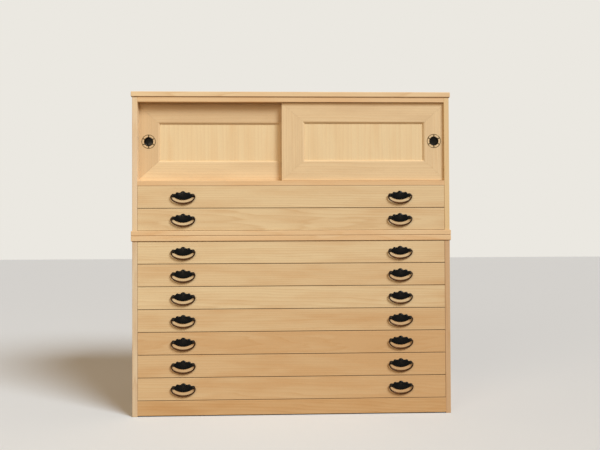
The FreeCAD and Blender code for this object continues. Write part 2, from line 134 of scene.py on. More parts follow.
def paulownia(name, pale, late, warm, board_width=1000.0, ring=6.5, flat_sawn=0.0, axes=None, contrast=0.5,
              right_shade=0.0):
    """Bare paulownia, quarter sawn or flat sawn: pale cream early wood, thin tan late wood every 6 to 14 mm,
    a low silky lustre, fine pores and soft orange patches. Lengths are in millimetres.

    The grain follows (along, across, through). A replaced piece carries those as its grain attribute, in
    metres, with its own figure and tone. A panel takes them from Object coordinates in the order of axes.
    A growth ring is the fraction of q / ring, where q is the distance across a quarter-sawn board, or the
    distance from a heart line under a flat-sawn one, which slopes along the board and so draws arches.
    A tone of 0 to 1 is how tanned the board is, on some boards partly painted shade, and from 1 to 2 a brown
    is mixed in as painted shade for the gaps between parts. The last argument is how much more tanned the
    panel on the positive side is than the middle: painted shade for light that falls off to the right.
    """
    material = bpy.data.materials.new(name)
    material.use_nodes = True
    tree = material.node_tree
    shader = tree.nodes["Principled BSDF"]

    if axes:
        source = node(tree, "ShaderNodeTexCoord").outputs["Object"]
        tone, figure = PANEL_TONE, flat_sawn
    else:
        source = node(tree, "ShaderNodeAttribute", {"attribute_name": "grain"}).outputs["Vector"]
        tone = node(tree, "ShaderNodeAttribute", {"attribute_name": "tone"}).outputs["Fac"]
        figure = node(tree, "ShaderNodeAttribute", {"attribute_name": "figure"}).outputs["Fac"]
    millimetres = node(tree, "ShaderNodeVectorMath", SCALED, {0: source, 3: MM_PER_METRE})
    parted = node(tree, "ShaderNodeSeparateXYZ", {}, {0: millimetres})
    along, across, through = [parted.outputs["XYZ".index(letter)] for letter in (axes or "XYZ")]

    # The board's number in the panel, and three shares drawn for that number and side.
    place = node(tree, "ShaderNodeMath", TIMES_PLUS, {0: across, 1: 1 / board_width, 2: 0.5})
    number = node(tree, "ShaderNodeMath", {"operation": "FLOOR"}, {0: place})
    side = node(tree, "ShaderNodeMath", {"operation": "SIGN"}, {0: through}) if axes else 0.0
    cell = node(tree, "ShaderNodeCombineXYZ", {}, {0: number, 1: side})
    chance = node(tree, "ShaderNodeTexWhiteNoise", {"noise_dimensions": "2D"}, {"Vector": cell})
    drawn = node(tree, "ShaderNodeSeparateColor", {}, {0: chance.outputs["Color"]})
    along = node(tree, "ShaderNodeMath", TIMES_PLUS, {0: drawn.outputs[0], 1: BOARD_SHIFT, 2: along})
    off_heart, step = across, 0.0
    if axes:
        stray = node(tree, "ShaderNodeMath", TIMES_PLUS, {
            0: drawn.outputs[1], 1: HEART_STRAY, 2: -HEART_STRAY / 2})
        middle = node(tree, "ShaderNodeMath", TIMES_PLUS, {0: number, 1: board_width, 2: stray})
        off_heart = node(tree, "ShaderNodeMath", {"operation": "SUBTRACT"}, {0: across, 1: middle})
        own_step = node(tree, "ShaderNodeMath", TIMES_PLUS, {
            0: drawn.outputs[2], 1: BOARD_STEP, 2: -BOARD_STEP / 2})
        step = node(tree, "ShaderNodeMath", TIMES_PLUS, {0: side, 1: right_shade, 2: own_step})

    board = node(tree, "ShaderNodeCombineXYZ", {}, {0: along, 1: across, 2: through})
    grain = {}
    for label, (along_mm, across_mm, detail, seed) in GRAIN.items():
        stretched = node(tree, "ShaderNodeVectorMath", TIMES_PLUS, {
            0: board, 1: (1 / along_mm, 1 / across_mm, 1 / across_mm), 2: (seed, 0.0, 0.0)})
        grain[label] = node(tree, "ShaderNodeTexNoise", {}, {
            "Vector": stretched, "Scale": 1.0, "Detail": detail})
    open_from, open_to = PORE_SHOWS
    grain["pore"] = node(tree, "ShaderNodeMapRange", {}, {
        0: grain["pore"], 1: open_from, 2: open_to, 3: 0.0, 4: 1.0})

    # The distance q: straight lines across a quarter-sawn board, arches on a flat-sawn one.
    wobble = node(tree, "ShaderNodeMath", TIMES_PLUS, {0: grain["drift"], 1: WOBBLE, 2: -WOBBLE / 2})
    quarter = node(tree, "ShaderNodeMath", PLUS, {0: across, 1: wobble})
    squared = node(tree, "ShaderNodeMath", TIMES_PLUS, {0: off_heart, 1: off_heart, 2: HEART_DEPTH ** 2})
    heart = node(tree, "ShaderNodeMath", {"operation": "SQRT"}, {0: squared})
    sway = node(tree, "ShaderNodeMath", TIMES, {0: wobble, 1: ARCH_WOBBLE})
    slope = node(tree, "ShaderNodeMath", TIMES_PLUS, {0: along, 1: ARCH_SLOPE, 2: sway})
    arch = node(tree, "ShaderNodeMath", PLUS, {0: heart, 1: slope})
    distance = node(tree, "ShaderNodeMix", {}, {0: figure, 2: quarter, 3: arch})

    uneven = node(tree, "ShaderNodeMath", TIMES, {0: grain["uneven"], 1: RING_STRAY})
    rings = node(tree, "ShaderNodeMath", TIMES_PLUS, {0: distance, 1: 1 / ring, 2: uneven})
    phase = node(tree, "ShaderNodeMath", {"operation": "FRACT"}, {0: rings})
    late_wood = node(tree, "ShaderNodeValToRGB", {}, {0: phase})
    stops = late_wood.color_ramp
    stops.interpolation = "EASE"
    for stop, level in LATE_WOOD:
        stops.elements.new(stop).color = (level, level, level, 1.0)
    stops.elements[-1].color = (0.0, 0.0, 0.0, 1.0)

    shows = node(tree, "ShaderNodeMath", {**TIMES_PLUS, **CLAMPED}, {
        0: grain["streak"], 1: STREAK_GAIN, 2: STREAK_LOSS})
    strength = node(tree, "ShaderNodeMath", TIMES, {0: late_wood, 1: shows})
    line_share = node(tree, "ShaderNodeMath", TIMES, {0: strength, 1: contrast})
    lined = node(tree, "ShaderNodeMix", COLOURS, {0: line_share, 6: linear(pale), 7: linear(late)})

    patch_from, patch_to = PATCH_SHOWS
    patch = node(tree, "ShaderNodeMapRange", {}, {
        0: grain["patch"], 1: patch_from, 2: patch_to, 3: 0.0, 4: PATCH_WARMTH})
    toned = node(tree, "ShaderNodeMath", PLUS, {0: patch, 1: tone})
    warmth = node(tree, "ShaderNodeMath", {**PLUS, **CLAMPED}, {0: toned, 1: step})
    warm_share = node(tree, "ShaderNodeMath", TIMES, {0: warmth, 1: FULL_WARMTH})
    warmed = node(tree, "ShaderNodeMix", COLOURS, {0: warm_share, 6: lined.outputs[2], 7: linear(warm)})

    shade = 1.0
    for label, (gain, level) in SHADE.items():
        factor = node(tree, "ShaderNodeMath", TIMES_PLUS, {0: grain[label], 1: gain, 2: level})
        shade = node(tree, "ShaderNodeMath", TIMES, {0: shade, 1: factor})
    colour = node(tree, "ShaderNodeVectorMath", SCALED, {0: warmed.outputs[2], 3: shade}).outputs[0]
    # A tone above 1 mixes in a brown: painted shade on hidden faces, which darkens the gaps between parts.
    if not axes:
        past_tan = node(tree, "ShaderNodeMath", {"operation": "SUBTRACT", **CLAMPED}, {0: tone, 1: 1.0})
        gap_shade = node(tree, "ShaderNodeMath", TIMES, {0: past_tan, 1: FULL_GAP_SHADE})
        colour = node(tree, "ShaderNodeMix", COLOURS, {0: gap_shade, 6: colour, 7: linear(GAP_SHADE_COLOUR)}).outputs[2]
    tree.links.new(colour, shader.inputs["Base Color"])

    smoothed = node(tree, "ShaderNodeMath", TIMES_PLUS, {0: strength, 1: LATE_ROUGHNESS, 2: WOOD_ROUGHNESS})
    lustre = node(tree, "ShaderNodeMath", TIMES_PLUS, {0: grain["fibre"], 1: FIBRE_ROUGHNESS, 2: smoothed})
    tree.links.new(lustre.outputs[0], shader.inputs["Roughness"])
    shader.inputs["IOR"].default_value = WOOD_IOR

    ridges = node(tree, "ShaderNodeMath", TIMES, {0: strength, 1: RELIEF})
    pitted = node(tree, "ShaderNodeMath", TIMES_PLUS, {0: grain["pore"], 1: -RELIEF, 2: ridges})
    relief = node(tree, "ShaderNodeMath", TIMES_PLUS, {0: grain["fibre"], 1: RELIEF, 2: pitted})
    bump = node(tree, "ShaderNodeBump", {}, {
        "Strength": RELIEF_STRENGTH, "Distance": RELIEF_DEPTH, "Height": relief})
    tree.links.new(bump.outputs[0], shader.inputs["Normal"])
    return material


CASE_TONES = ("#f2d9ac", "#c99a5e", "#e3b27a")
SIDE_BOARD = 148.0
BACK_BOARD = 164.0
# The last argument makes the right-hand side panels more tanned than the left: painted shade for light that
# falls off to the right.
side_wood = paulownia("planed_paulownia_upright", "#edd6b6", "#c99a5e", "#e8c683",
                      board_width=SIDE_BOARD, flat_sawn=0.35, axes="ZYX", contrast=0.4, right_shade=0.3)
rail_wood = paulownia("planed_paulownia_level", *CASE_TONES, axes="XZY")
# The lower case's side panels are coloured darker and warmer: painted shade for light that falls off
# downwards.
shaded_low_side_wood = paulownia("planed_paulownia_upright_lower_shaded", "#eddcba", "#c09054", "#c18b4f",
                          board_width=SIDE_BOARD, flat_sawn=0.35, axes="ZYX", contrast=0.4, right_shade=0.3)
back_wood = paulownia("planed_paulownia_back", "#e9cfa2", "#c4965c", "#d8a873",
                      board_width=BACK_BOARD, flat_sawn=0.9, axes="ZXY")
runner_wood = paulownia("planed_paulownia_runner", "#ecd2a4", "#c79a60", "#dcae78", axes="YZX")

for node_name, wood in (
        ("lower_side_panels", shaded_low_side_wood), ("upper_side_panels", side_wood),
        ("lower_back_panel", back_wood), ("upper_back_panel", back_wood), ("head_rail_and_sill", rail_wood),
        ("lower_runners", runner_wood), ("upper_runners", runner_wood)):
    nodes[node_name].data.materials.clear()
    nodes[node_name].data.materials.append(wood)


# The three projecting boards: the top of each case and the bottom of the upper one. Paulownia again, planed,
# with every arris taken off by hand, and fixed to their cases with nothing that shows.

BOARD_ARRIS = 0.0018
BOARD_HEART = 0.02
ROUND = np.radians([78.0, 39.0, 0.0])
GRAIN_STEP_ALONG = 1.37
GRAIN_STEP_THROUGH = 0.61
# The tone of painted shade on hidden faces, which darkens the gaps between parts.
GAP_SHADE_TONE = 2.0
SAME_POINT = 1e-7


def skin(loops, capped=True):
    """Points and faces of a skin over a row of closed loops with as many points each: point k of loop i is
    joined to point k of loop i + 1. Capped, the first and last loops are closed by one face each."""
    rows, count = loops.shape[:2]
    number = np.arange(rows * count).reshape(rows, count)
    after = np.roll(number, -1, axis=1)
    quads = np.stack([number[:-1], after[:-1], after[1:], number[1:]], axis=-1).reshape(-1, 4).tolist()
    if capped:
        quads += [number[0][::-1].tolist(), number[-1].tolist()]
    return loops.reshape(-1, 3), quads


def eased_outline(corners, inset, radius):
    """A closed outline drawn in by inset, with three points round each corner of that radius.

    A corner P moves by inset (n + m) / (1 + n.m), with n and m the inward normals of the edges before and
    after it. The arc runs from P - a r over P + (b - a) r (1 - 1 / sqrt 2) to P + b r, along edges a and b.
    """
    corners = np.asarray(corners, float)
    ahead = np.roll(corners, -1, axis=0) - corners
    ahead /= np.linalg.norm(ahead, axis=1, keepdims=True)
    before = np.roll(ahead, 1, axis=0)
    n = np.stack([-before[:, 1], before[:, 0]], axis=1)
    m = np.stack([-ahead[:, 1], ahead[:, 0]], axis=1)
    placed = corners + inset * (n + m) / (1 + np.sum(n * m, axis=1, keepdims=True))
    middle = placed + (ahead - before) * radius * (1 - math.sqrt(0.5))
    return np.stack([placed - before * radius, middle, placed + ahead * radius], axis=1).reshape(-1, 2)


def planed_board(low, high, along, arris, seed, tone=0.5, figure=0.0, heart=0.0):
    """One board as a box with rounded arrises, carried along its length, with its grain coordinates.

    Near each end the section draws in by arris (1 - cos a) while it runs out by arris sin a, scaled so that
    the last loop lies on the end. Across is the wider side of the section. The seed shifts the grain along.
    """
    low, high = np.array(low, float), np.array(high, float)
    axis = "XYZ".index(along)
    first, second = (axis + 1) % 3, (axis + 2) % 3
    corners = [(low[first], low[second]), (high[first], low[second]),
               (high[first], high[second]), (low[first], high[second])]
    reach = arris * np.sin(ROUND) / math.sin(ROUND[0])
    places = np.concatenate([low[axis] + arris - reach, (high[axis] - arris + reach)[::-1]])
    angles = np.concatenate([ROUND, ROUND[::-1]])
    outlines = np.array([
        eased_outline(corners, arris * (1 - math.cos(angle)), arris * math.cos(angle)) for angle in angles])
    loops = np.zeros((*outlines.shape[:2], 3))
    loops[:, :, axis] = places[:, None]
    loops[:, :, [first, second]] = outlines
    points, faces = skin(loops)
    size = high - low
    across, through = (first, second) if size[first] >= size[second] else (second, first)
    centre = (low + high) / 2
    grain = np.stack([points[:, axis] + seed * GRAIN_STEP_ALONG, points[:, across] - centre[across] + heart,
                      points[:, through] - centre[through] + seed * GRAIN_STEP_THROUGH], axis=1)
    return points, faces, grain, np.full(len(points), tone), np.full(len(points), figure)


def with_gap_shade(board, hidden):
    """The board with painted shade on the faces where hidden is true, which darkens the gaps between parts.
    """
    points, faces, grain, tone, figure = board
    return points, faces, grain, np.where(hidden, GAP_SHADE_TONE, tone), figure


def close_and_turn_out(mesh):
    """Merges points that coincide and turns every face of each closed skin outwards."""
    work = bmesh.new()
    work.from_mesh(mesh)
    bmesh.ops.remove_doubles(work, verts=work.verts, dist=SAME_POINT)
    bmesh.ops.recalc_face_normals(work, faces=work.faces)
    work.to_mesh(mesh)
    work.free()


def wooden_piece(name, boards, material, body, slot, *replaced):
    """One piece made of several boards, which keep their own grain, tone and figure as point attributes."""
    counts = np.cumsum([0] + [len(board[0]) for board in boards])
    faces = [[k + start for k in face] for board, start in zip(boards, counts) for face in board[1]]
    mesh = bpy.data.meshes.new(name)
    mesh.from_pydata(np.concatenate([board[0] for board in boards]).tolist(), [], faces)
    for label, kind, field, column in (("grain", "FLOAT_VECTOR", "vector", 2), ("tone", "FLOAT", "value", 3),
                                       ("figure", "FLOAT", "value", 4)):
        values = np.concatenate([board[column] for board in boards]).astype(np.float32)
        mesh.attributes.new(label, kind, "POINT").data.foreach_set(field, values.ravel())
    close_and_turn_out(mesh)
    mesh.materials.append(material)
    piece = bpy.data.objects.new(name, mesh)
    bpy.context.scene.collection.objects.link(piece)
    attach(piece, body)
    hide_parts(*replaced)


board_wood = paulownia("planed_paulownia_boards", *CASE_TONES)
for node_name, body, tone, seed in (("lower_top_board", "lower_case", 0.6, 3),
                                    ("upper_bottom_board", "upper_case", 0.5, 4),
                                    ("upper_top_board", "upper_case", 0.2, 5)):
    low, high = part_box(node_name)
    board = planed_board(low, high, "X", BOARD_ARRIS, seed, tone=tone, figure=0.5, heart=BOARD_HEART)
    # Painted shade on the underside, for the dark line beneath the board.
    board = with_gap_shade(board, board[0][:, 2] < low[2] + 0.5 * BOARD_ARRIS)
    wooden_piece(node_name + "_planed", [board], board_wood, body, "kiri_case", node_name)


# The plinth: a kickboard between the sides, coloured darker and warmer, partly as painted shade for light
# that falls off downwards, clear of the floor by a few millimetres, the bottom board housed in the sides
# behind it, and a rail under the bottom board's back edge.

KICK_THICK = 0.020
KICK_LIFT = 0.003
KICK_GAP = 0.0008
KICK_ARRIS = 0.001
KICK_HEART = 0.015
BOTTOM_THICK = 0.012
BOTTOM_HOUSING = 0.005
RAIL_DEPTH = 0.020
RAIL_ARRIS = 0.0006
INNER_ARRIS = 0.0004

kick_wood = paulownia("planed_paulownia_kickboard", "#e3c18e", "#b8854c", "#c48f52", contrast=0.6)
low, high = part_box("bottom_board_and_kickboard")
inner_x = high[0] - BOTTOM_HOUSING
bottom_z = high[2] - BOTTOM_THICK
kick_y = low[1] + KICK_THICK
plinth = [
    planed_board((-inner_x, low[1], low[2] + KICK_LIFT), (inner_x, kick_y, high[2] - KICK_GAP),
                 "X", KICK_ARRIS, 13, tone=0.6, figure=0.5, heart=KICK_HEART),
    planed_board((low[0], kick_y, bottom_z), (high[0], high[1], high[2]), "X", INNER_ARRIS, 14),
    planed_board((-inner_x, high[1] - RAIL_DEPTH, low[2]), (inner_x, high[1], bottom_z), "X", RAIL_ARRIS, 15)]
wooden_piece("plinth_boards", plinth, kick_wood, "lower_case", "kiri_case", "bottom_board_and_kickboard")


# The sliding doors: two stiles and two rails, mitred, with a bevel planed down to a thin upright-grained
# panel. Tongues along the top and bottom edges run in the grooves of the head rail and the sill.

STILE = 0.072
TOP_RAIL = 0.064
BOTTOM_RAIL = 0.064
BEVEL = (0.004, 0.003)
DOOR_THICK = 0.016
PANEL_DEPTH = 0.005
PANEL_THICK = 0.005
PANEL_TONGUE = 0.007
DOOR_PANEL_TONE = 0.15
TONGUE_SPAN = (0.004, 0.012)
TONGUE_STOP = 0.009
TONGUE_DROP = 0.0037
TONGUE_RISE = 0.0075
MITRE_GAP = 0.00012
DOOR_ARRIS = 0.0006
POCKET_RADIUS = 0.01375
POCKET_DEPTH = 0.01015
POCKET_PATCH = 0.026
POCKET_POINTS = 64


def bored(points, faces, loop_size, centre_x, centre_z, face_y, toward):
    """Opens a round pocket in the flat face between loops 1 and 2 of a member and their points 2 and 3.

    Point k of the n on the rim lies at -135 degrees + 360 k / n, so the first of each quarter looks at a
    corner of the face. Each side of the face and the quarter of the rim that it looks at bound one polygon.
    """
    corners = [loop_size + 2, loop_size + 3, 2 * loop_size + 3, 2 * loop_size + 2]
    faces = faces[:loop_size + 2] + faces[loop_size + 3:]
    count, quarter = POCKET_POINTS, POCKET_POINTS // 4
    angle = np.radians(-135 + np.arange(count) * 360 / count)
    rims = np.zeros((2, count, 3))
    rims[:, :, 0] = centre_x + toward * POCKET_RADIUS * np.cos(angle)
    rims[:, :, 1] = np.array([[face_y], [face_y + POCKET_DEPTH]])
    rims[:, :, 2] = centre_z + POCKET_RADIUS * np.sin(angle)
    start = len(points)
    rim_points, wall = skin(rims, capped=False)
    faces += [[k + start for k in quad] for quad in wall] + [[start + count + k for k in range(count)]]
    for side in range(4):
        stretch = [start + k % count for k in range(quarter * (side + 1), quarter * side - 1, -1)]
        faces.append([corners[side], corners[(side + 1) % 4]] + stretch)
    return np.concatenate([points, rim_points]), faces


def mitred_member(outer, inner, start, end, mitre_start, mitre_end, place, along, seed, tone, pocket=None):
    """A frame member as its section carried between two mitres, with a pocket at (x, z) if one is given.

    The section runs from the outer edge over the face, down the bevel and round the back. A point at the
    fraction f across the member, outer 0 and inner 1, ends at start + f mitre_start and end - f mitre_end.
    """
    width = abs(inner - outer)
    bevel_width, bevel_depth = BEVEL
    arris = DOOR_ARRIS
    section = np.array([
        (0.0, arris), (0.3 * arris, 0.3 * arris), (arris, 0.0),
        (width - bevel_width - arris, 0.0), (width - bevel_width, 0.25 * arris),
        (width, bevel_depth), (width, DOOR_THICK - arris), (width - arris, DOOR_THICK),
        (arris, DOOR_THICK), (0.0, DOOR_THICK - arris)])
    share = section[:, 0] / width
    across = outer + (inner - outer) * share
    begin = start + MITRE_GAP + share * mitre_start
    finish = end - MITRE_GAP - share * mitre_end
    stations = [begin, finish]
    if pocket:
        stations[1:1] = [np.full(len(section), pocket[1] + step) for step in (-POCKET_PATCH, POCKET_PATCH)]
    loops = np.zeros((len(stations), len(section), 3))
    axis, other = ("XYZ".index(along), 0 if along == "Z" else 2)
    loops[:, :, axis] = stations
    loops[:, :, other] = across
    loops[:, :, 1] = place + section[:, 1]
    points, faces = skin(loops)
    if pocket:
        points, faces = bored(points, faces, len(section), *pocket, place, np.sign(inner - outer))
    grain = np.stack([points[:, axis] + seed * GRAIN_STEP_ALONG, points[:, other] - (outer + inner) / 2,
                      points[:, 1] + seed * GRAIN_STEP_THROUGH], axis=1)
    return points, faces, grain, np.full(len(points), tone), np.zeros(len(points))


door_wood = paulownia("planed_paulownia_doors", "#f2d8aa", "#cfa266", "#d2b083", ring=9.0, contrast=0.4)
panel_wood = paulownia("planed_paulownia_panels", "#f3dcae", "#d8b077", "#e5bd85", ring=14.0, contrast=0.3)

# The left door's outer stile and top rail take a higher tone than the rest of the doors: painted shade,
# darker beside the side panel and under the head rail.
for name, seed, tone, stile_tone_and_shade, rail_tone_and_shade in (("left_door", 21, 0.1, 1.0, 0.8),
                                                ("right_door", 31, 0.25, 0.25, 0.35)):
    left = name == "left_door"
    low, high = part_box(name)
    x0, x1 = low[0], high[0]
    z0, z1 = low[2] + TONGUE_DROP, high[2] - TONGUE_RISE
    face_y = low[1]
    panel_y = face_y + PANEL_DEPTH
    hole_x0, hole_x1, hole_z0, hole_z1 = x0 + STILE, x1 - STILE, z0 + BOTTOM_RAIL, z1 - TOP_RAIL
    pull_low, pull_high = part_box(name + "_pull")
    pull = ((pull_low[0] + pull_high[0]) / 2, (pull_low[2] + pull_high[2]) / 2)
    pockets = (pull, None) if left else (None, pull)
    boards = [
        mitred_member(x0, hole_x0, z0, z1, BOTTOM_RAIL, TOP_RAIL, face_y, "Z", seed, stile_tone_and_shade, pockets[0]),
        mitred_member(x1, hole_x1, z0, z1, BOTTOM_RAIL, TOP_RAIL, face_y, "Z", seed + 1, tone, pockets[1]),
        mitred_member(z0, hole_z0, x0, x1, STILE, STILE, face_y, "X", seed + 2, tone),
        mitred_member(z1, hole_z1, x0, x1, STILE, STILE, face_y, "X", seed + 3, rail_tone_and_shade)]
    tongue_x0 = x0 + (TONGUE_STOP if left else 0)
    tongue_x1 = x1 - (0 if left else TONGUE_STOP)
    for tongue_z0, tongue_z1 in ((low[2], z0), (z1, high[2])):
        boards.append(planed_board((tongue_x0, face_y + TONGUE_SPAN[0], tongue_z0),
                                   (tongue_x1, face_y + TONGUE_SPAN[1], tongue_z1),
                                   "X", INNER_ARRIS, seed + 5))
    wooden_piece(name + "_frame", boards, door_wood, name, "kiri_doors", name)
    panel = planed_board((hole_x0 - PANEL_TONGUE, panel_y, hole_z0 - PANEL_TONGUE),
                         (hole_x1 + PANEL_TONGUE, panel_y + PANEL_THICK, hole_z1 + PANEL_TONGUE),
                         "Z", INNER_ARRIS, seed + 7, tone=DOOR_PANEL_TONE)
    wooden_piece(name + "_panel", [panel], panel_wood, name, "kiri_doors", name)


# Nine drawers, each with a 20 mm front and a thin box behind it: two sides, a back set between them and a
# bottom under all three. The fronts are sawn from different boards. The lower ones are more tanned, partly
# as painted shade for light that falls off downwards, their right ends are darker as painted shade, and the
# faces behind their front edges carry painted shade that darkens the gaps between them.

FRONT_ARRIS = 0.0009
BOX_ARRIS = 0.0005
BOX_SIDE = 0.009
BOX_BACK = 0.008
BOX_BACK_DROP = 0.004
BOX_BOTTOM = 0.006
DRAWERS = 9
# The fronts' tones: partly each board's own, partly painted shade, higher lower down.
FRONT_TONE_AND_SHADE = [0.05, 0.1, 0.0, 0.3, 0.08, 0.47, 0.83, 0.76, 0.72]
FRONT_FIGURE = [0.0, 0.6, 0.1, 0.0, 0.3, 0.0, 0.8, 0.1, 0.4]
# Painted shade: how much the tone rises towards the right end, per drawer down.
RIGHT_END_SHADE = 0.026
FRONT_HEART = 0.012
HEART_TURN = 2.4

front_wood = paulownia("planed_paulownia_fronts", "#ebd3a5", "#c4965e", "#cb965a", contrast=0.48)
box_wood = paulownia("planed_paulownia_boxes", "#efd7ab", "#caa069", "#dcb27e", contrast=0.4)

for number in range(1, DRAWERS + 1):
    name = "drawer_" + str(number)
    low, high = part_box(name + "_front")
    heart = FRONT_HEART * math.sin(HEART_TURN * number)
    front = planed_board(low, high, "X", FRONT_ARRIS, 40 + number, tone=FRONT_TONE_AND_SHADE[number - 1],
                         figure=FRONT_FIGURE[number - 1], heart=heart)
    # Painted shade, darker towards the right end and more so on lower drawers.
    front[3][:] += RIGHT_END_SHADE * number * front[0][:, 0] / high[0]
    # Painted shade on the faces behind the front edge, which darkens the gaps round each front.
    front = with_gap_shade(front, front[0][:, 1] > low[1] + 0.8 * FRONT_ARRIS)
    wooden_piece(name + "_front_planed", [front], front_wood, name, "kiri_fronts", name + "_front")

    (x0, _, z0), (x1, y1, z1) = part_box(name + "_box")
    y0 = high[1]
    side_z = z0 + BOX_BOTTOM
    boards = [planed_board((x0, y0, side_z), (x0 + BOX_SIDE, y1, z1), "Y", BOX_ARRIS, 60 + number),
              planed_board((x1 - BOX_SIDE, y0, side_z), (x1, y1, z1), "Y", BOX_ARRIS, 70 + number),
              planed_board((x0 + BOX_SIDE, y1 - BOX_BACK, side_z), (x1 - BOX_SIDE, y1, z1 - BOX_BACK_DROP),
                           "X", BOX_ARRIS, 80 + number),
              planed_board((x0, y0, z0), (x1, y1, side_z), "X", BOX_ARRIS, 90 + number, figure=0.7)]
    wooden_piece(name + "_box_planed", boards, box_wood, name, "kiri_boxes", name + "_box")


# Blackened iron: the plates, eye pins, bails and pulls are forged or stamped, then baked black with oil.
# The eye sees a near-black metal with a cool sheen, rubbed a little browner along the raised edges.

MARKS_PER_METRE = 900.0
CLOUDS_PER_METRE = 120.0
IRON_ROUGHNESS = 0.22
CLOUD_ROUGHNESS = 0.25
MARK_STRENGTH = 0.5
MARK_DEPTH = 0.0003
OIL_COAT = {"Coat Weight": 0.22, "Coat Roughness": 0.2, "Coat IOR": 1.5}


def blackened_iron(name, base, rubbed):
    """Blackened iron: a dark metal under a thin coat of baked oil, its sheen broken by 0.6 mm hammer and
    scale marks. The rub attribute says how far an edge is worn, from 0, not at all, to 1 and above, most."""
    material = bpy.data.materials.new(name)
    material.use_nodes = True
    tree = material.node_tree
    shader = tree.nodes["Principled BSDF"]
    place = node(tree, "ShaderNodeTexCoord").outputs["Object"]
    scale_marks = node(tree, "ShaderNodeTexNoise", {}, {
        "Vector": place, "Scale": MARKS_PER_METRE, "Detail": 3.0})
    clouds = node(tree, "ShaderNodeTexNoise", {}, {
        "Vector": place, "Scale": CLOUDS_PER_METRE, "Detail": 2.0})
    rub = node(tree, "ShaderNodeAttribute", {"attribute_name": "rub"}).outputs["Fac"]
    worn = node(tree, "ShaderNodeMath", TIMES, {0: rub, 1: clouds})
    colour = node(tree, "ShaderNodeMix", COLOURS, {0: worn, 6: linear(base), 7: linear(rubbed)})
    gloss = node(tree, "ShaderNodeMath", TIMES_PLUS, {0: clouds, 1: CLOUD_ROUGHNESS, 2: IRON_ROUGHNESS})
    bump = node(tree, "ShaderNodeBump", {}, {
        "Strength": MARK_STRENGTH, "Distance": MARK_DEPTH, "Height": scale_marks})
    tree.links.new(colour.outputs[2], shader.inputs["Base Color"])
    tree.links.new(gloss.outputs[0], shader.inputs["Roughness"])
    tree.links.new(bump.outputs[0], shader.inputs["Normal"])
    shader.inputs["Metallic"].default_value = 1.0
    for label, value in OIL_COAT.items():
        shader.inputs[label].default_value = value
    return material


def iron_piece(name, parts, material, body, slot, *replaced):
    """One piece made of several closed skins. Each part is points, faces and how far each point is rubbed."""
    counts = np.cumsum([0] + [len(part[0]) for part in parts])
    faces = [[k + start for k in face] for part, start in zip(parts, counts) for face in part[1]]
    mesh = bpy.data.meshes.new(name)
    mesh.from_pydata(np.concatenate([part[0] for part in parts]).tolist(), [], faces)
    rub = mesh.attributes.new("rub", "FLOAT", "POINT")
    rub.data.foreach_set("value", np.concatenate([part[2] for part in parts]).astype(np.float32))
    close_and_turn_out(mesh)
    mesh.polygons.foreach_set("use_smooth", np.ones(len(mesh.polygons), bool))
    mesh.materials.append(material)
    piece = bpy.data.objects.new(name, mesh)
    bpy.context.scene.collection.objects.link(piece)
    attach(piece, body)
    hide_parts(*replaced)


plate_iron = blackened_iron("blackened_iron_plates", "#040404", "#4a4238")
bail_iron = blackened_iron("blackened_iron_bails", "#1e1006", "#75461d")
pull_iron = blackened_iron("blackened_iron_pulls", "#0c0c0b", "#8a7451")


# Backplates: stamped from one sheet as a cloud of lobes, with a tall peak, a knob on each shoulder and a
# curl under each eye, and bossed up from behind so that every lobe swells by itself.

MM = 0.001

# Each lobe as its centre, radius and swell.
PEAK = (0.0, 4.6, 9.2, 3.6)
SHOULDER = (17.8, 4.7, 5.5, 2.8)
CURL = (30.75, 0.0, 5.6, 1.3)

# The belly: half width, half height and swell of its dome and the dome's middle, and its outline's lowest
# point and corners. The outline between the lobes lies at the valley's height, or the neck's further out.
BELLY = (27.5, 13.8, 3.3)
BELLY_MIDDLE = -1.5
BELLY_DROP = 14.2
BELLY_CORNER = (28.15, 5.6)
VALLEY = 9.0
NECK = 5.2
EYE_X = 30.75

EDGE_THICK = 0.9
EDGE_EASE = 0.7
OUTLINE_POINTS = 200
RAY_CROWDING = 0.35
EDGE_SHARES = [1.0, 1.0, 0.985]
FACE_SHARES = np.linspace(0.96, 0.04, 22)
RIM_SHARE = 0.1
LOBE_CREASE = 4
RUBBED_SWELL = 3.5
RUB_POWER = 8
RIM_RUB = 0.6


def cloud_outline():
    """The plate's outline in millimetres about the pivot, as the farthest point of the lobes along each ray.

    A ray leaves a disc at p + sqrt(r^2 - q^2), with p and q the centre's distance along and beside the ray.
    The rays crowd towards the two ends, where the outline is farthest away.
    """
    turn = np.linspace(0, 2 * math.pi, OUTLINE_POINTS, endpoint=False)
    angle = np.arctan2(RAY_CROWDING * np.sin(turn), np.cos(turn))
    ray = np.stack([np.cos(angle), np.sin(angle)], axis=1)
    corner_x, corner_drop = BELLY_CORNER
    sag = BELLY_DROP - corner_drop
    belly_radius = (corner_x ** 2 + sag ** 2) / (2 * sag)
    discs = [(0.0, belly_radius - BELLY_DROP, belly_radius), PEAK[:3]]
    for side in (-1, 1):
        discs += [(side * SHOULDER[0], *SHOULDER[1:3]), (side * CURL[0], *CURL[1:3])]
    reach = []
    for x, z, radius in discs:
        ahead = ray @ (x, z)
        beside = ray @ (-z, x)
        inside = radius ** 2 - beside ** 2
        reach.append(np.where(inside > 0, ahead + np.sqrt(np.maximum(inside, 0)), 0))
    above = np.maximum(ray[:, 1], 1e-6)
    valley = np.where(np.abs(ray[:, 0]) / above * VALLEY < SHOULDER[0], VALLEY / above, NECK / above)
    reach[0] = np.where(ray[:, 1] > 0, np.minimum(valley, EYE_X / np.abs(ray[:, 0])), reach[0])
    return ray * np.max(reach, axis=0)[:, None]


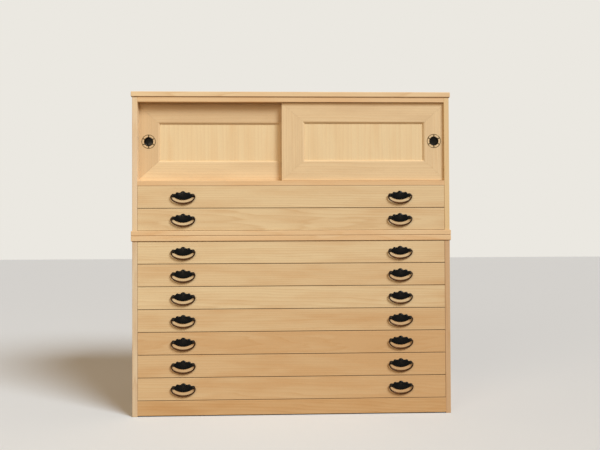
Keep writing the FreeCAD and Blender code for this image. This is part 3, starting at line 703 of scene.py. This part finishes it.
def bossed_height(x, z):
    """How far the plate swells at each point: a smooth maximum of one dome for the belly and one for each
    lobe, log(sum exp(c dome)) / c, where a dome is its height times sqrt(1 - (distance / reach)^2)."""
    half_x, half_z, rise = BELLY
    low_z = z - BELLY_MIDDLE
    domes = [rise * np.sqrt(np.maximum(0, 1 - (x / half_x) ** 2 - (low_z / half_z) ** 2))]
    for cx, cz, radius, height in (PEAK, SHOULDER, CURL):
        for side in ((1,) if cx == 0 else (-1, 1)):
            far = ((x - side * cx) ** 2 + (z - cz) ** 2) / radius ** 2
            domes.append(height * np.sqrt(np.maximum(0, 1 - far)))
    total = np.sum(np.exp(LOBE_CREASE * np.array(domes)), axis=0)
    return np.log(total) / LOBE_CREASE - math.log(len(domes)) / LOBE_CREASE


def backplate():
    """The plate as loops of its outline scaled in towards the middle: the back edge, the front edge, and then
    the bossed face at each share of the way in, which rises from the rim as the root of the way."""
    outline = cloud_outline()
    shares = np.concatenate([EDGE_SHARES, FACE_SHARES])
    loops = np.zeros((len(shares), len(outline), 3))
    loops[:, :, 0] = shares[:, None] * outline[:, 0]
    loops[:, :, 2] = shares[:, None] * outline[:, 1]
    swell = bossed_height(loops[:, :, 0], loops[:, :, 2])
    rim = np.clip((1 - shares) / RIM_SHARE, 0, 1)[:, None] ** 0.5
    loops[:, :, 1] = -EDGE_THICK - swell * rim
    loops[0, :, 1] = 0
    loops[1, :, 1] = -EDGE_THICK * EDGE_EASE
    rub = np.clip(swell * rim / RUBBED_SWELL, 0, 1) ** RUB_POWER
    rub[1:3] = RIM_RUB
    points, faces = skin(loops)
    return points, faces, rub.ravel()


# Eye pins: iron posts with a cross hole for the bail. Their shanks pass through the drawer front, and the two
# legs are bent over on a washer behind it.

EYE_PROFILE = [(4.5, -1.6), (4.5, -2.0), (4.1, -2.4), (3.2, -2.9), (2.8, -3.6), (2.8, -6.0), (2.6, -7.0),
               (2.0, -7.9), (1.2, -8.4), (0.1, -8.5)]
WASHER_PROFILE = [(1.6, 21.0), (4.6, 21.0), (5.0, 20.7), (5.0, 20.0), (1.6, 20.0)]
PIN_SIDES = 28
LEG = (8.0, 1.2, 1.0)
LEG_PLACE = 21.0
LEG_STEPS = 13
LEG_TAPER = 0.45
LEG_DIP = 0.35
EYE_RUB = 0.5
BEHIND_RUB = 0.1


def turned(profile, x, z, segments, ring=False):
    """A profile of (radius, y) pairs turned about the line through x, z along Y: each point goes round at
    x + radius cos a, z + radius sin a. A ring's profile closes on itself."""
    angle = np.linspace(0, 2 * math.pi, segments, endpoint=False)
    profile = np.array(profile + profile[:1] if ring else profile, float)
    loops = np.zeros((len(profile), segments, 3))
    loops[:, :, 0] = x + profile[:, :1] * np.cos(angle)
    loops[:, :, 1] = profile[:, 1:]
    loops[:, :, 2] = z + profile[:, :1] * np.sin(angle)
    return skin(loops, capped=not ring)


def eye_pin(x):
    """The post, its washer and the two bent legs as one flat bar. At t, from -1 to 1 along the bar, its half
    width is w (1 - 0.45 |t|^3) and its thickness h (1 - 0.35 t^2), so it tapers to its tips."""
    half_length, half_width, thick = LEG
    along = np.linspace(-1, 1, LEG_STEPS)
    half = half_width * (1 - LEG_TAPER * np.abs(along) ** 3)
    dip = thick * LEG_DIP * np.abs(along) ** 2
    corners = np.array([(-1, 0.0), (1, 0.0), (1, 1.0), (-1, 1.0)])
    loops = np.zeros((len(along), 4, 3))
    loops[:, :, 0] = x + half_length * along[:, None]
    loops[:, :, 1] = LEG_PLACE + corners[:, 1] * (thick - dip[:, None])
    loops[:, :, 2] = corners[:, 0] * half[:, None]
    parts = [(*turned(EYE_PROFILE, x, 0, PIN_SIDES), EYE_RUB),
             (*turned(WASHER_PROFILE, x, 0, PIN_SIDES, ring=True), BEHIND_RUB), (*skin(loops), BEHIND_RUB)]
    return [(points, faces, np.full(len(points), rub)) for points, faces, rub in parts]


# Bails: a rod forged a little thicker in the middle and bent to a bow, rubbed brown there by fingers, with
# its ends turned in and held in the eyes.

BAIL_HALF = 36.75
BAIL_DROP = 25.0
BEND = 2.7
BEND_LEAD = 0.5
BAIL_SIDE = 17.0
BAIL_RADIUS = (1.9, 2.7)
PIN_RADIUS = 1.45
PIN_REACH = 1.4
PIVOT_PROUD = 5.0
ROD_SIDES = 18
RUB_FROM = 16
RUB_OVER = 11
BAIL_RUB = (0.25, 0.75)


def arc(x, z, radius, first, last, count):
    """Points round the centre x, z at that radius, evenly from the first angle to the last."""
    angle = np.linspace(first, last, count)
    return np.stack([x + radius * np.cos(angle), z + radius * np.sin(angle)], axis=1)


def bail_path():
    """Half of the bow as points and rod radii: a pin in the eye, a quarter bend, a side arc, and the long
    arc that meets it, whose radius follows from the drop. The other half is its mirror image. From the bend
    to the middle the radius swells by sin^2 of the share of the way."""
    side_x = BAIL_HALF - BAIL_SIDE
    gap = BAIL_DROP - BEND
    long_r = (side_x ** 2 + gap ** 2 - BAIL_SIDE ** 2) / (2 * (gap - BAIL_SIDE))
    long_z = long_r - BAIL_DROP
    lean = math.atan2(-(long_z + BEND), side_x)
    pin = np.array([(EYE_X - PIN_REACH, 0.0), (BAIL_HALF - BEND - BEND_LEAD, 0.0)])
    bend = arc(BAIL_HALF - BEND, -BEND, BEND, math.pi / 2, 0, 9)
    flank = arc(side_x, -BEND, BAIL_SIDE, 0, lean, 15)[1:]
    bow = arc(0, long_z, long_r, lean, -math.pi / 2, 19)[1:]
    path = np.concatenate([pin, bend, flank, bow])
    thin, thick = BAIL_RADIUS
    share = np.linspace(0, math.pi / 2, len(flank) + len(bow))
    radii = np.concatenate([[PIN_RADIUS] * 2, [thin] * len(bend), thin + (thick - thin) * np.sin(share) ** 2])
    mirror = path[-2::-1] * (-1, 1)
    return np.concatenate([path, mirror]), np.concatenate([radii, radii[-2::-1]])


def bail():
    """A round section carried along the bow: each point is the path's, plus r cos a across and r sin a
    along Y. Across is the line at right angles to the path in its plane."""
    path, radii = bail_path()
    ahead = np.gradient(path, axis=0)
    ahead /= np.linalg.norm(ahead, axis=1, keepdims=True)
    across = np.stack([-ahead[:, 1], ahead[:, 0]], axis=1)
    angle = np.linspace(0, 2 * math.pi, ROD_SIDES, endpoint=False)
    loops = np.zeros((len(path), len(angle), 3))
    loops[:, :, 0] = path[:, :1] + radii[:, None] * np.cos(angle) * across[:, :1]
    loops[:, :, 2] = path[:, 1:] + radii[:, None] * np.cos(angle) * across[:, 1:]
    loops[:, :, 1] = -PIVOT_PROUD + radii[:, None] * np.sin(angle)
    points, faces = skin(loops)
    low_middle = np.clip((-path[:, 1] - RUB_FROM) / RUB_OVER, 0, 1)
    least, more = BAIL_RUB
    return points, faces, np.repeat(least + more * low_middle, len(angle))


# The handles go on the drawers, two to a front, each with its plate, its two eye pins and its bail. Inset and
# height are those of the pivot from the front's end and lower edge, in metres.

HANDLE_INSET = 0.1407
PIVOT_HEIGHT = 0.0388
plate_parts = [backplate()] + eye_pin(-EYE_X) + eye_pin(EYE_X)
bail_points, bail_faces, bail_rub = bail()

for number in range(1, DRAWERS + 1):
    name = "drawer_" + str(number)
    low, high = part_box(name + "_front")
    plates = []
    for side, pivot_x in (("left", low[0] + HANDLE_INSET), ("right", high[0] - HANDLE_INSET)):
        pivot = np.array([pivot_x, low[1], low[2] + PIVOT_HEIGHT])
        plates += [(points * MM + pivot, faces, rub) for points, faces, rub in plate_parts]
        bail_name = name + "_" + side + "_bail"
        rod = (bail_points * MM + pivot, bail_faces, bail_rub)
        iron_piece(bail_name + "_rod", [rod], bail_iron, bail_name, "iron_bails", bail_name)
    iron_piece(name + "_plates", plates, plate_iron, name, "iron_plates", name + "_handle_plates")


# Flush door pulls: a spun iron cup with a rolled lip, pressed into the stile, on a flat ring pierced by six
# petals that let the wood show through.

PULL_RING = (20.3, 22.3)
PULL_COLLAR = (13.2, 14.6)
PULL_LIP = 1.5
PULL_FLAT = 0.8
RING_EDGE = 0.45
RING_SHOULDER = 0.72
RING_SIDES = 72
CUP_PROFILE = [(0.1, 10.0), (12.6, 10.0), (13.4, 9.4), (13.6, 8.6), (13.6, 0.0), (13.6, -0.9), (13.4, -1.3),
               (13.0, -1.5), (12.7, -1.3), (12.5, -0.8), (12.5, 7.4), (11.9, 8.6), (10.6, 9.1), (0.1, 9.2)]
CUP_SIDES = 64
BARS = 6
BAR_HALF = (1.7, 1.1)
BAR_LAP = 0.3
BAR_STEPS = 11
BAR_SECTION = np.array([
    (-1, 0.0), (1, 0.0), (1, -0.4), (0.8, -0.66), (0.0, -0.74), (-0.8, -0.66), (-1, -0.4)])
CUP_RUB = 0.05
RING_RUB = 1.3
COLLAR_RUB = 0.3
BAR_RUB = 1.0


def banded_ring(inner, outer):
    """A flat ring with its face slightly crowned, between two radii: the crown's profile turned about Y."""
    width = outer - inner
    profile = [(inner, 0.0), (inner, -RING_EDGE), (inner + 0.2 * width, -RING_SHOULDER),
               (inner + 0.5 * width, -PULL_FLAT), (outer - 0.2 * width, -RING_SHOULDER),
               (outer, -RING_EDGE), (outer, 0.0)]
    return turned(profile, 0, 0, RING_SIDES, ring=True)


def pull_bar(angle):
    """A bar from the collar to the ring, two thirds wider at both ends: half width a + b (2 t - 1)^2 at the
    share t of the way. It laps a little over the collar and the ring."""
    share = np.linspace(0, 1, BAR_STEPS)
    radius = PULL_COLLAR[1] - BAR_LAP + share * (PULL_RING[0] - PULL_COLLAR[1] + 2 * BAR_LAP)
    half = BAR_HALF[0] + BAR_HALF[1] * (2 * share - 1) ** 2
    beside = half[:, None] * BAR_SECTION[:, 0]
    loops = np.zeros((len(share), len(BAR_SECTION), 3))
    loops[:, :, 0] = radius[:, None] * math.cos(angle) - beside * math.sin(angle)
    loops[:, :, 2] = radius[:, None] * math.sin(angle) + beside * math.cos(angle)
    loops[:, :, 1] = BAR_SECTION[:, 1]
    return skin(loops)


pull_parts = [(*turned(CUP_PROFILE, 0, 0, CUP_SIDES), CUP_RUB), (*banded_ring(*PULL_RING), RING_RUB),
              (*banded_ring(*PULL_COLLAR), COLLAR_RUB)]
pull_parts += [(*pull_bar(math.radians((n + 0.5) * 360 / BARS)), BAR_RUB) for n in range(BARS)]

for side in ("left", "right"):
    door = side + "_door"
    low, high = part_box(door + "_pull")
    centre = np.array([(low[0] + high[0]) / 2, low[1] + PULL_LIP * MM, (low[2] + high[2]) / 2])
    placed = [(points * MM + centre, faces, np.full(len(points), rub)) for points, faces, rub in pull_parts]
    iron_piece(side + "_pull_cup_and_ring", placed, pull_iron, door, "iron_pulls", door + "_pull")


# Stage: a plain pale floor and backdrop, which pass on a warmer light than they show. The key comes from far
# off at the upper right, as even as a large window, and a weak lamp lifts the left. The camera stands at the
# photograph's viewing angle.

FLOOR_REACH = 14.0
FLOOR_ROUGHNESS = 0.9
FLOOR_SEEN = "#e6ecee"
FLOOR_PASSED_ON = "#8f7f6c"
BACKDROP = "#ebe8e1"
BACKDROP_STRENGTH = 1.0
SURROUND = "#ffd4a4"
SURROUND_STRENGTH = 0.31
KEY_TOWARDS = (-4.7, 5.4, -5.85)
KEY_POWER = 2.75
KEY_SPREAD = 0.45
KEY_COLOUR = "#f0f7ff"
FILL_PLACE = (-1.6, -3.3, 2.3)
FILL_AIM = (-0.4, 0, 0.5)
FILL_SIZE = 1.6
FILL_POWER = 27.0
FILL_COLOUR = "#ffeed6"
CAMERA_PLACE = (-0.0490, -2.3225, 0.5604)
CAMERA_YAW = math.radians(2.0)
CAMERA_PITCH = math.radians(0.85)
CAMERA_ROLL = math.radians(-0.25)
SENSOR = 36.0
FOCAL_PIXELS = 674.0
PHOTO_WIDTH = 600.0


def seen_directly(tree):
    """1 for what the camera sees itself or in a reflection, 0 for light that the surface passes on."""
    path = node(tree, "ShaderNodeLightPath")
    return node(tree, "ShaderNodeMath", {"operation": "MAXIMUM"}, {
        0: path.outputs["Is Camera Ray"], 1: path.outputs["Is Glossy Ray"]})


floor_mesh = bpy.data.meshes.new("floor")
floor_mesh.from_pydata([(-FLOOR_REACH, -FLOOR_REACH, 0), (FLOOR_REACH, -FLOOR_REACH, 0),
                        (FLOOR_REACH, FLOOR_REACH, 0), (-FLOOR_REACH, FLOOR_REACH, 0)], [], [(0, 1, 2, 3)])
floor = bpy.data.objects.new("floor", floor_mesh)
bpy.context.scene.collection.objects.link(floor)
paint = bpy.data.materials.new("matt_studio_floor")
paint.use_nodes = True
floor_tree = paint.node_tree
floor_shader = floor_tree.nodes["Principled BSDF"]
floor_tone = node(floor_tree, "ShaderNodeMix", COLOURS, {
    0: seen_directly(floor_tree), 6: linear(FLOOR_PASSED_ON), 7: linear(FLOOR_SEEN)})
floor_tree.links.new(floor_tone.outputs[2], floor_shader.inputs["Base Color"])
floor_shader.inputs["Roughness"].default_value = FLOOR_ROUGHNESS
floor_mesh.materials.append(paint)

world = bpy.data.worlds.new("soft_studio")
bpy.context.scene.world = world
world.use_nodes = True
sky = world.node_tree
surround = node(sky, "ShaderNodeBackground", {}, {"Color": linear(SURROUND), "Strength": SURROUND_STRENGTH})
backdrop = node(sky, "ShaderNodeBackground", {}, {"Color": linear(BACKDROP), "Strength": BACKDROP_STRENGTH})
blend = node(sky, "ShaderNodeMixShader", {}, {0: seen_directly(sky), 1: surround, 2: backdrop})
sky.links.new(blend.outputs[0], sky.nodes["World Output"].inputs["Surface"])

key_light = bpy.data.lights.new("key", "SUN")
key_light.energy = KEY_POWER
key_light.angle = KEY_SPREAD
key_light.color = linear(KEY_COLOUR)[:3]
key = bpy.data.objects.new("key", key_light)
key.rotation_euler = Vector(KEY_TOWARDS).to_track_quat("-Z", "Y").to_euler()
bpy.context.scene.collection.objects.link(key)

fill_light = bpy.data.lights.new("left_fill", "AREA")
fill_light.size = FILL_SIZE
fill_light.energy = FILL_POWER
fill_light.color = linear(FILL_COLOUR)[:3]
fill = bpy.data.objects.new("left_fill", fill_light)
fill.location = FILL_PLACE
fill.rotation_euler = (Vector(FILL_AIM) - Vector(FILL_PLACE)).to_track_quat("-Z", "Y").to_euler()
bpy.context.scene.collection.objects.link(fill)

camera_data = bpy.data.cameras.new("camera")
camera_data.sensor_width = SENSOR
camera_data.lens = SENSOR * FOCAL_PIXELS / PHOTO_WIDTH
camera = bpy.data.objects.new("camera", camera_data)
camera.matrix_world = (Matrix.Translation(CAMERA_PLACE) @ Matrix.Rotation(-CAMERA_YAW, 4, "Z")
                       @ Matrix.Rotation(math.pi / 2 + CAMERA_PITCH, 4, "X")
                       @ Matrix.Rotation(CAMERA_ROLL, 4, "Z"))
bpy.context.scene.collection.objects.link(camera)
bpy.context.scene.camera = camera
bpy.context.scene.view_settings.view_transform = "Standard"
